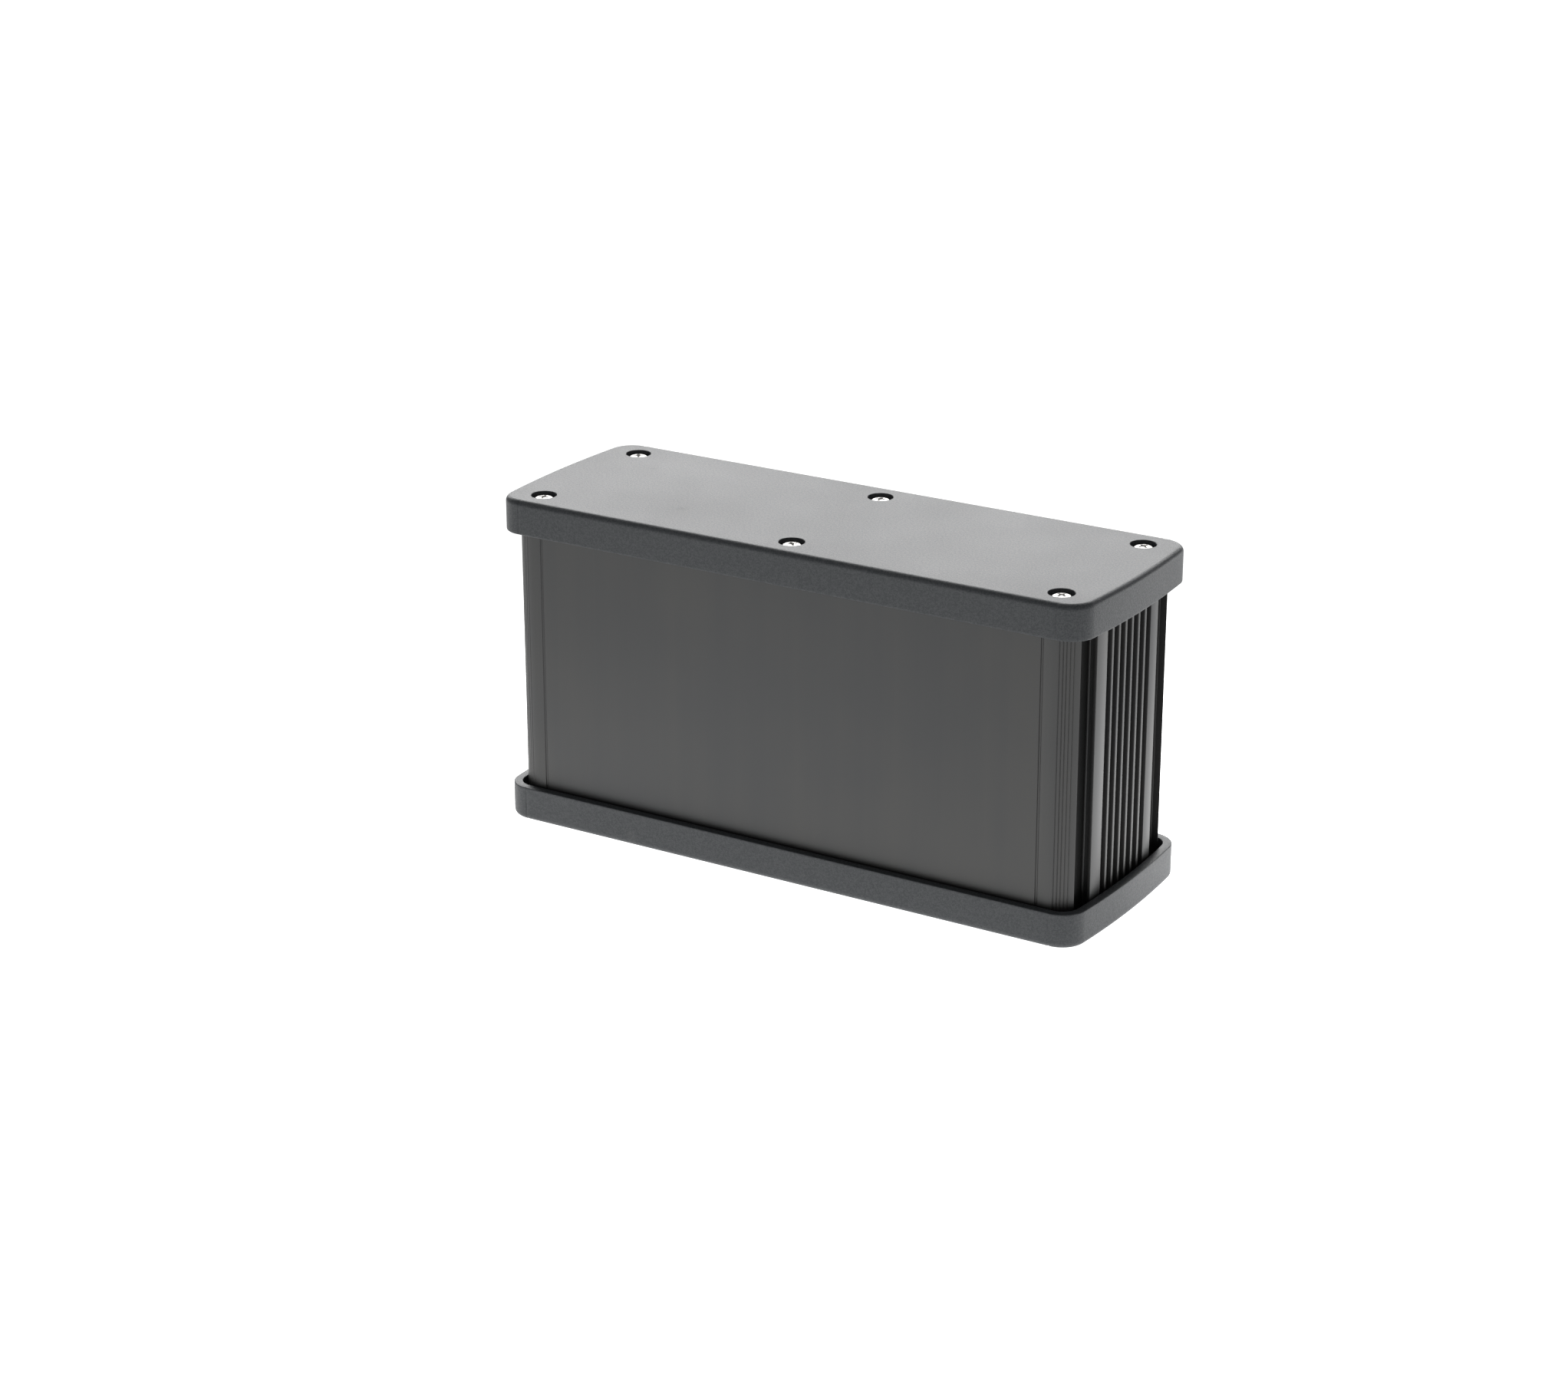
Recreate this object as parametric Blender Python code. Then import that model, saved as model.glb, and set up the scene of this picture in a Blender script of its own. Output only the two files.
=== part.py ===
"""Battery box: a finned, extruded aluminium case, closed at both ends by a moulded cover.

The box stands on its bottom cover. +X runs along its length, -Y is its front and +Z is up; the
origin is the middle of the footprint. The two covers are the same moulding, one turned over. Each
is drawn down on a gasket by six pan-head screws, and a rubber seal ring sits under every head.
All sizes are in metres.
"""

import math

import bmesh
import bpy

MM = 0.001
GAP = 0.3 * MM  # left between pieces that touch

# Covers: long straight sides, slightly bowed ends, rounded corners
BOX_HEIGHT = 102.6 * MM
COVER_LENGTH = 199.0 * MM
COVER_WIDTH = 69.0 * MM
COVER_HEIGHT = 10.6 * MM
COVER_CORNER = 8.0 * MM
COVER_END_BOW = 320.0 * MM  # radius of the bowed ends
COVER_EDGE = 1.7 * MM  # radius of the outer edge
COVER_RIM = 2.7 * MM  # wall of the skirt
COVER_SEAT = 5.3 * MM  # thickness under the gasket
COVER_PLATE = 3.2 * MM  # thickness inside the gasket
POCKET_HALF_X = 87.5 * MM
POCKET_HALF_Y = 26.0 * MM
PAD_RADIUS = 5.4 * MM  # left standing round each screw

# Screws, on a pattern of three by two
SCREW_SPACING_X = 87.0 * MM
SCREW_SPACING_Y = 50.7 * MM
HEAD_RADIUS = 2.75 * MM
HEAD_HEIGHT = 2.0 * MM
HEAD_SUNK = 0.5 * MM
SHANK_RADIUS = 1.5 * MM
SHANK_LENGTH = 12.0 * MM
COUNTERBORE_RADIUS = 3.85 * MM
SEAL_THICKNESS = 0.5 * MM
SEAL_RADIUS = 3.1 * MM
SEAL_BORE = 1.8 * MM
CLEARANCE_BORE = 1.9 * MM  # through covers and gaskets
CASE_BORE = 1.8 * MM  # screw port in the case

# Gaskets
GASKET_THICKNESS = 1.2 * MM
GASKET_HALF_X = 92.0 * MM
GASKET_HALF_Y = 30.8 * MM
GASKET_CORNER = 7.0 * MM
GASKET_INNER_X = 89.6 * MM
GASKET_INNER_Y = 28.4 * MM
GASKET_EYE = 4.2 * MM  # radius of the eye round each screw

# Case section, which is the same all the way up
CASE_HALF_X = 95.8 * MM
CASE_HALF_Y = 31.2 * MM
CASE_CORNER = 9.0 * MM
WALL = 2.4 * MM
PORT_RADIUS = 4.1 * MM
PANEL_GROOVE_X = 84.4 * MM
PANEL_GROOVE_WIDTH = 0.9 * MM
PANEL_GROOVE_DEPTH = 0.4 * MM
CORNER_REEDS = (18.0, 24.8, 31.0, 38.0, 45.0)  # degrees round the corner from the long face
REED_HALF_ANGLE = 1.3  # degrees
REED_DEPTH = 0.25 * MM
LIP_ANGLE = 58.0  # degrees, where the corner stops at the T-slot

# T-slots and cooling fins of the case's ends
END_DEPTH = 3.6 * MM  # depth of the slots and of the gaps between the fins
SLOT_HEAD = 1.0 * MM  # thickness of the ribs' overhanging heads
SLOT_UNDERCUT = 2.0 * MM
SLOT_BEAD = 0.4 * MM
FRONT_RIB_OUTER = 19.9 * MM
BACK_RIB_OUTER = 18.2 * MM
RIB_INNER = 13.6 * MM
FIN_COUNT = 6
FIN_PITCH = 4.07 * MM
FIN_THICKNESS = 1.2 * MM

# Board rails inside the case's ends: distance from the middle, thickness and height
RAILS = (7.8 * MM, 11.0 * MM)
RAIL_THICKNESS = 1.2 * MM
RAIL_HEIGHT = 2.0 * MM

ROUND_STEPS = 16
OVERSHOOT = 1.0 * MM  # by which a cutter passes the face that it cuts

# Levels, measured from the outer face of a cover inwards
SEAL_LEVEL = HEAD_SUNK + HEAD_HEIGHT + GAP
COUNTERBORE_DEPTH = SEAL_LEVEL + SEAL_THICKNESS + GAP
GASKET_LEVEL = COVER_SEAT + GAP
CASE_LEVEL = GASKET_LEVEL + GASKET_THICKNESS + GAP

SCREW_PLACES = [
    (x * SCREW_SPACING_X, y * SCREW_SPACING_Y / 2) for y in (-1, 1) for x in (-1, 0, 1)
]


# ---------------------------------------------------------------- outlines


def arc(centre, radius, start, end, steps):
    """Points along an arc, from start to end in degrees, both ends included."""
    angles = [math.radians(start + (end - start) * i / steps) for i in range(steps + 1)]
    return [(centre[0] + radius * math.cos(a), centre[1] + radius * math.sin(a)) for a in angles]


def circle(centre, radius, steps=ROUND_STEPS):
    return arc(centre, radius, 0, 360, steps)[:-1]


def mirrored(quarter):
    """Closed outline from the points of its first quadrant, which run from the X axis to the Y."""
    upper = quarter + [(-x, y) for x, y in reversed(quarter) if x > 0]
    return upper + [(x, -y) for x, y in reversed(upper) if y > 0]


def cover_outline(inset):
    """Outline of a cover, moved in by inset."""
    bow_centre = COVER_LENGTH / 2 - COVER_END_BOW
    corner_y = COVER_WIDTH / 2 - COVER_CORNER
    reach = math.sqrt((COVER_END_BOW - COVER_CORNER) ** 2 - corner_y**2)
    turn = math.degrees(math.atan2(corner_y, reach))
    bow = arc((bow_centre, 0), COVER_END_BOW - inset, 0, turn, 3)
    corner = arc((bow_centre + reach, corner_y), COVER_CORNER - inset, turn, 90, 6)
    return mirrored(bow + corner[1:])


def ported_outline(half_x, half_y, port, rails=()):
    """Rectangle that goes round the six screw ports, with rails standing on its short sides."""
    quarter = [(half_x, 0)]
    for rail in rails:
        far = rail + RAIL_THICKNESS
        tip = half_x - RAIL_HEIGHT
        quarter += [(half_x, rail), (tip, rail), (tip, far), (half_x, far)]
    port_x = SCREW_SPACING_X
    port_y = SCREW_SPACING_Y / 2
    rise = math.degrees(math.asin((half_y - port_y) / port))
    side = -math.degrees(math.acos((half_x - port_x) / port))
    quarter += arc((port_x, port_y), port, side, rise - 180 - 2 * rise, 8)
    quarter += arc((0, port_y), port, rise, -90, 5)[:-1]
    return mirrored(quarter + [(0, port_y - port)])


def panel_groove():
    """Fine groove in a long face of the case, towards +X."""
    half = PANEL_GROOVE_WIDTH / 2
    floor = CASE_HALF_Y - PANEL_GROOVE_DEPTH
    near = PANEL_GROOVE_X - half
    far = PANEL_GROOVE_X + half
    slope = PANEL_GROOVE_DEPTH / 2
    return [(near, CASE_HALF_Y), (near + slope, floor), (far - slope, floor), (far, CASE_HALF_Y)]


def reeded_corner():
    """Rounded corner of the case with its fine reeds, from the long face to the lip of the slot."""
    centre = (CASE_HALF_X - CASE_CORNER, CASE_HALF_Y - CASE_CORNER)
    stops = [(0, CASE_CORNER), (9, CASE_CORNER)]
    for angle in CORNER_REEDS:
        stops.append((angle - REED_HALF_ANGLE, CASE_CORNER))
        stops.append((angle, CASE_CORNER - REED_DEPTH))
        stops.append((angle + REED_HALF_ANGLE, CASE_CORNER))
    stops += [(52, CASE_CORNER), (LIP_ANGLE, CASE_CORNER)]
    return [
        (centre[0] + r * math.sin(math.radians(a)), centre[1] + r * math.cos(math.radians(a)))
        for a, r in stops
    ]


def end_slot(lip, rib_outer):
    """T-slot between the lip of a corner and the outer edge of a rib."""
    floor = CASE_HALF_X - END_DEPTH
    under = CASE_HALF_X - SLOT_HEAD
    stem = rib_outer - SLOT_UNDERCUT
    return [
        (floor, lip[1]),
        (floor, stem + SLOT_BEAD),
        (floor + SLOT_BEAD, stem),
        (under, stem),
        (under, rib_outer),
        (CASE_HALF_X, rib_outer),
    ]


def fins():
    """The gaps between the fins, from the front rib to the back rib."""
    root = CASE_HALF_X - END_DEPTH
    edges = [-RIB_INNER]
    for i in range(FIN_COUNT):
        middle = (i - (FIN_COUNT - 1) / 2) * FIN_PITCH
        edges += [middle - FIN_THICKNESS / 2, middle + FIN_THICKNESS / 2]
    edges.append(RIB_INNER)
    points = []
    for low, high in zip(edges[0::2], edges[1::2]):
        points += [(CASE_HALF_X, low), (root, low), (root, high), (CASE_HALF_X, high)]
    return points


def case_outline():
    """Outer outline of the case: its +X half from front to back, then the same mirrored."""
    side = panel_groove() + reeded_corner()
    front = side + end_slot(side[-1], FRONT_RIB_OUTER)
    back = side + end_slot(side[-1], BACK_RIB_OUTER)
    right = [(x, -y) for x, y in front] + fins() + list(reversed(back))
    return right + [(-x, y) for x, y in reversed(right)]


# ---------------------------------------------------------------- solids


def prism(mesh, loops, low, high):
    """Adds a solid of constant section: the first loop is its outline, the others are holes."""
    edges = []
    for loop in loops:
        verts = [mesh.verts.new((x, y, low)) for x, y in loop]
        edges += [mesh.edges.new((verts[i - 1], verts[i])) for i in range(len(verts))]
    filled = bmesh.ops.triangle_fill(mesh, edges=edges, use_beauty=True)["geom"]
    faces = [item for item in filled if isinstance(item, bmesh.types.BMFace)]
    pulled = bmesh.ops.extrude_face_region(mesh, geom=faces)["geom"]
    tops = [item for item in pulled if isinstance(item, bmesh.types.BMVert)]
    bmesh.ops.translate(mesh, verts=tops, vec=(0, 0, high - low))


def turned(mesh, profile, centre=(0, 0)):
    """Adds a solid of revolution about the vertical through centre; the profile ends on the axis."""
    x, y = centre
    verts = [mesh.verts.new((x + radius, y, height)) for radius, height in profile]
    edges = [mesh.edges.new(pair) for pair in zip(verts, verts[1:])]
    bmesh.ops.spin(
        mesh,
        geom=verts + edges,
        cent=(x, y, 0),
        axis=(0, 0, 1),
        angle=math.tau,
        steps=ROUND_STEPS,
        use_merge=True,
    )
    bmesh.ops.remove_doubles(mesh, verts=mesh.verts, dist=0.001 * MM)


def finished(mesh, name):
    """Turns the bmesh into a mesh whose faces point outwards."""
    bmesh.ops.recalc_face_normals(mesh, faces=mesh.faces)
    data = bpy.data.meshes.new(name)
    mesh.to_mesh(data)
    mesh.free()
    return data


def placed(name, data, material, location=(0, 0, 0), turned_over=False):
    """A named object of the box, its origin on the axis that it turns or lifts along."""
    piece = bpy.data.objects.new(name, data)
    piece.location = location
    if turned_over:
        piece.rotation_euler = (math.pi, 0, 0)
    if not data.materials:
        data.materials.append(material)
    bpy.context.scene.collection.objects.link(piece)
    return piece


def cutter(name, data):
    helper = bpy.data.objects.new(name, data)
    helper.hide_render = True
    helper.display_type = "WIRE"
    bpy.context.scene.collection.objects.link(helper)
    return helper


def cut(piece, helper):
    modifier = piece.modifiers.new(helper.name, "BOOLEAN")
    modifier.operation = "DIFFERENCE"
    modifier.solver = "EXACT"
    modifier.object = helper


def coloured(name, colour, roughness, metallic=0.0):
    material = bpy.data.materials.new(name)
    material.use_nodes = True
    shader = material.node_tree.nodes["Principled BSDF"]
    shader.inputs["Base Color"].default_value = (*colour, 1)
    shader.inputs["Roughness"].default_value = roughness
    shader.inputs["Metallic"].default_value = metallic
    return material


# ---------------------------------------------------------------- pieces


def case_mesh():
    mesh = bmesh.new()
    inside = ported_outline(CASE_HALF_X - END_DEPTH - WALL, CASE_HALF_Y - WALL, PORT_RADIUS, RAILS)
    ports = [circle(place, CASE_BORE) for place in SCREW_PLACES]
    loops = [case_outline(), inside, *ports]
    prism(mesh, loops, CASE_LEVEL, BOX_HEIGHT - CASE_LEVEL)
    return finished(mesh, "case_section")


def cover_blank():
    """Outer shape of a cover lying on its outer face, whose edge is rounded."""
    mesh = bmesh.new()
    prism(mesh, [cover_outline(0)], 0, COVER_HEIGHT)
    rim = [
        edge
        for edge in mesh.edges
        if all(vert.co.z < COVER_EDGE for vert in edge.verts) and edge.calc_face_angle(0) > 1
    ]
    bmesh.ops.bevel(
        mesh,
        geom=rim,
        affect="EDGES",
        offset=COVER_EDGE,
        segments=4,
        profile=0.5,
        material=-1,
    )
    return finished(mesh, "cover_moulding")


def cover_recess():
    """Room inside the skirt, which the case drops into."""
    mesh = bmesh.new()
    prism(mesh, [cover_outline(COVER_RIM)], COVER_SEAT, 2 * COVER_HEIGHT)
    return finished(mesh, "recess_cutter")


def cover_pocket():
    """Shallow pocket inside the gasket seat, which leaves a pad round each screw."""
    mesh = bmesh.new()
    outline = ported_outline(POCKET_HALF_X, POCKET_HALF_Y, PAD_RADIUS)
    prism(mesh, [outline], COVER_PLATE, COVER_HEIGHT)
    return finished(mesh, "pocket_cutter")


def screw_holes():
    """Six counterbored holes, cut from the outer face of a cover."""
    profile = [
        (0, -OVERSHOOT),
        (COUNTERBORE_RADIUS, -OVERSHOOT),
        (COUNTERBORE_RADIUS, COUNTERBORE_DEPTH),
        (CLEARANCE_BORE, COUNTERBORE_DEPTH),
        (CLEARANCE_BORE, COVER_HEIGHT),
        (0, COVER_HEIGHT),
    ]
    mesh = bmesh.new()
    for place in SCREW_PLACES:
        turned(mesh, profile, place)
    return finished(mesh, "screw_hole_cutter")


def gasket_mesh():
    corner = (GASKET_HALF_X - GASKET_CORNER, GASKET_HALF_Y - GASKET_CORNER)
    outer = mirrored([(GASKET_HALF_X, 0)] + arc(corner, GASKET_CORNER, 0, 90, 4))
    inner = ported_outline(GASKET_INNER_X, GASKET_INNER_Y, GASKET_EYE)
    eyes = [circle(place, CLEARANCE_BORE) for place in SCREW_PLACES]
    mesh = bmesh.new()
    prism(mesh, [outer, inner, *eyes], 0, GASKET_THICKNESS)
    return finished(mesh, "gasket")


def screw_mesh():
    """Pan-head screw, its origin at the top of its head and its shank pointing down."""
    under = -HEAD_HEIGHT
    tip = under - SHANK_LENGTH
    profile = [
        (0, 0),
        (0.55 * HEAD_RADIUS, -0.05 * HEAD_HEIGHT),
        (0.87 * HEAD_RADIUS, -0.30 * HEAD_HEIGHT),
        (HEAD_RADIUS, -0.75 * HEAD_HEIGHT),
        (HEAD_RADIUS, under),
        (SHANK_RADIUS, under),
        (SHANK_RADIUS, tip + 0.3 * SHANK_RADIUS),
        (0.7 * SHANK_RADIUS, tip),
        (0, tip),
    ]
    mesh = bmesh.new()
    turned(mesh, profile)
    return finished(mesh, "pan_head_screw")


def seal_mesh():
    mesh = bmesh.new()
    prism(mesh, [circle((0, 0), SEAL_RADIUS), circle((0, 0), SEAL_BORE)], 0, SEAL_THICKNESS)
    return finished(mesh, "seal_ring")


def smoothed(data):
    data.shade_smooth()
    data.set_sharp_from_angle(angle=math.radians(35))
    return data


def build():
    for leftover in list(bpy.data.objects):
        bpy.data.objects.remove(leftover)

    anodised = coloured("dark_anodised_aluminium", (0.045, 0.045, 0.047), 0.42, 0.9)
    moulded = coloured("dark_grey_moulding", (0.032, 0.036, 0.040), 0.55)
    steel = coloured("bright_steel", (0.62, 0.60, 0.57), 0.22, 1.0)
    rubber = coloured("black_rubber", (0.012, 0.012, 0.012), 0.75)

    placed("case_body", smoothed(case_mesh()), anodised)

    blank = smoothed(cover_blank())
    cutters = [
        cutter("cover_recess_cutter", cover_recess()),
        cutter("cover_pocket_cutter", cover_pocket()),
        cutter("screw_hole_cutter", screw_holes()),
    ]
    bottom_cover = placed("bottom_cover", blank, moulded)
    for helper in cutters:
        cut(bottom_cover, helper)
    moulding = bpy.data.meshes.new_from_object(
        bottom_cover.evaluated_get(bpy.context.evaluated_depsgraph_get())
    )
    placed("top_cover", moulding, moulded, (0, 0, BOX_HEIGHT), turned_over=True)

    gasket = smoothed(gasket_mesh())
    placed("bottom_gasket", gasket, rubber, (0, 0, GASKET_LEVEL))
    placed("top_gasket", gasket, rubber, (0, 0, BOX_HEIGHT - GASKET_LEVEL), turned_over=True)

    screw = smoothed(screw_mesh())
    seal = smoothed(seal_mesh())
    seal_top = SEAL_LEVEL + SEAL_THICKNESS
    for number, (x, y) in enumerate(SCREW_PLACES, 1):
        top = BOX_HEIGHT - HEAD_SUNK
        placed(f"top_screw_{number}", screw, steel, (x, y, top))
        placed(f"top_screw_seal_{number}", seal, rubber, (x, y, BOX_HEIGHT - seal_top))
        placed(f"bottom_screw_{number}", screw, steel, (x, y, HEAD_SUNK), turned_over=True)
        placed(f"bottom_screw_seal_{number}", seal, rubber, (x, y, SEAL_LEVEL))


build()
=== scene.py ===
# %% [markdown]
# # A battery box
#
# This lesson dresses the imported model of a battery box: an extruded, anodised aluminium case that
# stands on end between two equal moulded covers. Cooling fins and T-slots run up both narrow ends.
# Six pan-head screws hold each cover down on a rubber gasket, and a rubber ring seals each screw.
#
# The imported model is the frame. It says how big everything is and which piece moves with which, so
# nothing here changes a size. What it lacks is finish: round edges, screw threads and recesses, the
# sand of the mould, the lines of the die. Each cell below adds one of them.

# %% Load the frame
import math

import bmesh
import bpy
from mathutils import Matrix, Vector


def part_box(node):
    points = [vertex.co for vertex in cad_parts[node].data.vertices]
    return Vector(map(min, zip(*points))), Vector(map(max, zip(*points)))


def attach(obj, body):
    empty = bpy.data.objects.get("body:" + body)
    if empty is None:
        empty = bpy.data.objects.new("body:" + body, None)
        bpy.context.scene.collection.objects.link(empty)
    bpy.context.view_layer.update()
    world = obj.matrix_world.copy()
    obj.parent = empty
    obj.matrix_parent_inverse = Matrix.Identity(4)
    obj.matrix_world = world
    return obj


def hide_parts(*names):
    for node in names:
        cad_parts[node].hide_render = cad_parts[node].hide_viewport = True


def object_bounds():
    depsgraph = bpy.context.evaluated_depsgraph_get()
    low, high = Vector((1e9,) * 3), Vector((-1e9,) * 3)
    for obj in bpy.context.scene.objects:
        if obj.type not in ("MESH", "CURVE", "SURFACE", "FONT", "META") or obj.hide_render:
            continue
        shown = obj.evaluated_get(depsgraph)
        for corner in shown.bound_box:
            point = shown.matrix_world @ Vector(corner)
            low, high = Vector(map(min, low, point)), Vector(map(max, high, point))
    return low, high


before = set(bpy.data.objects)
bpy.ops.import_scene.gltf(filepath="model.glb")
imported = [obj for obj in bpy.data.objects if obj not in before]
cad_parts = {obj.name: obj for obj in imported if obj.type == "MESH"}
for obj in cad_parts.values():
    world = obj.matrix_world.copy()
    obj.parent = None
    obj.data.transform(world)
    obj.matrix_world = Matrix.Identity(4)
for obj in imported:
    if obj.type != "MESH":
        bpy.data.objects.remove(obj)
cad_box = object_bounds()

print("box:", [round(side * 1000, 1) for side in cad_box[1] - cad_box[0]], "mm")

# %% [markdown]
# ## Sizes
#
# Blender measures in metres here. A box this small is easier to think about in millimetres, so every
# size below is multiplied by MM. The outer sizes come from the frame. The others are the ones that
# the mould maker, the die maker and the screw maker would have on their drawings.

# %% Take the outer sizes from the frame
MM = 0.001
SEAM = 0.001 * MM  # points closer than this are one point

BOX_HEIGHT = cad_box[1].z
cover_low, cover_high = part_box("bottom_cover")
COVER_LENGTH, COVER_WIDTH, COVER_HEIGHT = cover_high - cover_low
case_low, case_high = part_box("case_body")
CASE_X = case_high.x
CASE_Y = case_high.y

SCREW_PLACES = []
for number in range(1, 7):
    screw_low, screw_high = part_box(f"top_screw_{number}")
    middle = (screw_low + screw_high) / 2
    SCREW_PLACES.append((middle.x, middle.y))
SCREW_X = max(x for x, y in SCREW_PLACES)
SCREW_Y = max(y for x, y in SCREW_PLACES)
print("screws stand at", [(round(x / MM), round(y / MM)) for x, y in SCREW_PLACES])

# %% [markdown]
# ## Camera
#
# The box is seen from the front and a little from its right-hand end, from slightly above, through a
# long lens that keeps its upright edges nearly parallel. Turning the camera in three steps keeps the
# numbers readable: up from straight down, round the box, and a hair of roll.

# %% Set up the camera
VIEW_AZIMUTH = math.radians(31.67)
VIEW_ELEVATION = math.radians(20.40)
VIEW_ROLL = math.radians(-0.06)
VIEW_PLACE = (0.4976, -0.8363, 0.4112)
VIEW_LENS = 79.97

camera = bpy.data.objects.new("camera", bpy.data.cameras.new("camera"))
camera.data.lens = VIEW_LENS
camera.data.sensor_width = 36
camera.data.clip_start = 0.01
camera.data.clip_end = 50
bpy.context.scene.collection.objects.link(camera)
bpy.context.scene.camera = camera

round_box = Matrix.Rotation(VIEW_AZIMUTH, 4, "Z")
up_from_below = Matrix.Rotation(math.pi / 2 - VIEW_ELEVATION, 4, "X")
roll = Matrix.Rotation(VIEW_ROLL, 4, "Z")
camera.matrix_world = Matrix.Translation(VIEW_PLACE) @ round_box @ up_from_below @ roll
print("camera stands", round(camera.location.length, 2), "m from the box")

# %% [markdown]
# ## Floor and light
#
# A dark object shows its shape by what it mirrors. The fronts stay dark, because they face the viewer
# squarely, while the top lights up, because it is seen at a flat angle and mirrors whatever is behind
# it. So the room itself is dim, and the light stands behind the box: a large panel that the top
# mirrors, one above it for the domed screw heads, and a small card for the fins. No panel shows
# itself to the camera. The colours are shown as they are, without a film-like curve, so that white
# stays white.

# %% Build the room
FLOOR_SIZE = 12.0
ROOM_STRENGTH = 0.26

floor_mesh = bmesh.new()
bmesh.ops.create_grid(floor_mesh, x_segments=1, y_segments=1, size=FLOOR_SIZE / 2)
floor_data = bpy.data.meshes.new("floor")
floor_mesh.to_mesh(floor_data)
floor_mesh.free()
floor = bpy.data.objects.new("floor", floor_data)
bpy.context.scene.collection.objects.link(floor)

white_room = bpy.data.worlds.new("white_room")
white_room.use_nodes = True
white_room.node_tree.nodes["Background"].inputs["Color"].default_value = (1, 1, 1, 1)
white_room.node_tree.nodes["Background"].inputs["Strength"].default_value = ROOM_STRENGTH
bpy.context.scene.world = white_room
bpy.context.scene.view_settings.view_transform = "Standard"


def soft_light(name, place, width, height, power):
    """A rectangular panel of light that faces the box."""
    lamp = bpy.data.lights.new(name, "AREA")
    lamp.shape = "RECTANGLE"
    lamp.size = width
    lamp.size_y = height
    lamp.energy = power
    panel = bpy.data.objects.new(name, lamp)
    panel.location = place
    towards_box = Vector((0, 0, BOX_HEIGHT / 2)) - panel.location
    panel.rotation_euler = towards_box.to_track_quat("-Z", "Y").to_euler()
    panel.visible_camera = False
    bpy.context.scene.collection.objects.link(panel)
    return panel


soft_light("back_panel", place=(-1.3, 2.1, 1.0), width=3.2, height=1.3, power=62)
soft_light("right_card", place=(0.34, 0.44, 0.06), width=0.24, height=0.12, power=0.30)
soft_light("high_panel", place=(-0.75, 1.20, 1.60), width=1.2, height=0.9, power=8)

# %% [markdown]
# ## Sums on a surface
#
# A finish is a sum: a base colour, plus a little of one pattern, minus a little of another. Wiring
# Math nodes by hand hides that sum. The small class below wraps the output of a node, so that
# ordinary Python signs add the nodes, and 1 - mask works as it reads. Every other node comes from
# one method, which takes its kind, its settings and what goes into its sockets.

# %% Write node maths as Python
class Amount:
    """A number, colour or vector that varies over a surface: one output of one node."""

    def __init__(self, finish, socket):
        self.finish = finish
        self.socket = socket

    def sum(self, operation, *terms):
        return self.finish.node("ShaderNodeMath", {"operation": operation}, dict(enumerate(terms)))

    def __add__(self, other):
        return self.sum("ADD", self, other)

    def __sub__(self, other):
        return self.sum("SUBTRACT", self, other)

    def __rsub__(self, other):
        return self.sum("SUBTRACT", other, self)

    def __mul__(self, other):
        return self.sum("MULTIPLY", self, other)

    def __abs__(self):
        return self.sum("ABSOLUTE", self)

    __radd__ = __add__
    __rmul__ = __mul__


class Finish:
    """A material, and the one way in which nodes are added to it."""

    def __init__(self, name):
        self.material = bpy.data.materials.new(name)
        self.material.use_nodes = True
        self.tree = self.material.node_tree
        self.shader = self.tree.nodes["Principled BSDF"]
        self.place = self.node("ShaderNodeTexCoord", {}, {}, "Object")

    def node(self, kind, settings, feeds, output=0):
        added = self.tree.nodes.new(kind)
        for name, value in settings.items():
            setattr(added, name, value)
        for name, value in feeds.items():
            self.feed(added.inputs[name], value)
        return Amount(self, added.outputs[output])

    def feed(self, socket, value):
        if isinstance(value, Amount):
            self.tree.links.new(value.socket, socket)
        else:
            socket.default_value = value

    def surface(self, **values):
        """Feeds the shader: base_color=... goes to Base Color."""
        for name, value in values.items():
            self.feed(self.shader.inputs[name.replace("_", " ").title()], value)


# %% [markdown]
# ## Patterns that every finish uses
#
# Four patterns are enough for the whole box. Grain is noise with a size in metres. Drawn lines are
# the same noise, squeezed across and stretched upwards. A step turns noise into a mask with a soft
# edge. A relief tilts the light without moving the surface, which suits detail finer than a hair.

# %% Make the patterns
def grain(finish, size, detail=2.0, place=None):
    """Noise from 0 to 1 whose spots are about this big."""
    feeds = {"Vector": place or finish.place, "Scale": 1 / size, "Detail": detail}
    return finish.node("ShaderNodeTexNoise", {}, feeds)


def stretched(finish, across, along):
    """Noise in upright streaks: this wide, and this long."""
    settings = {"operation": "MULTIPLY"}
    scale = (1 / across, 1 / across, 1 / along)
    place = finish.node("ShaderNodeVectorMath", settings, {0: finish.place, 1: scale})
    return grain(finish, 1.0, 2.0, place)


def step(finish, value, start, end, low=0.0, high=1.0):
    """Goes smoothly from low to high while the value goes from start to end."""
    settings = {"interpolation_type": "SMOOTHSTEP"}
    feeds = {"Value": value, "From Min": start, "From Max": end, "To Min": low, "To Max": high}
    return finish.node("ShaderNodeMapRange", settings, feeds)


def blended(finish, mask, first, second):
    """First colour where the mask is 0, second where it is 1."""
    return finish.node("ShaderNodeMix", {"data_type": "RGBA"}, {0: mask, 6: first, 7: second}, 2)


def relief(finish, height, depth, strength):
    """Tilts the light as if the surface were this deep."""
    feeds = {"Strength": strength, "Distance": depth, "Height": height}
    return finish.node("ShaderNodeBump", {}, feeds)


print("patterns:", [made.__name__ for made in (grain, stretched, step, blended, relief)])


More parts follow.
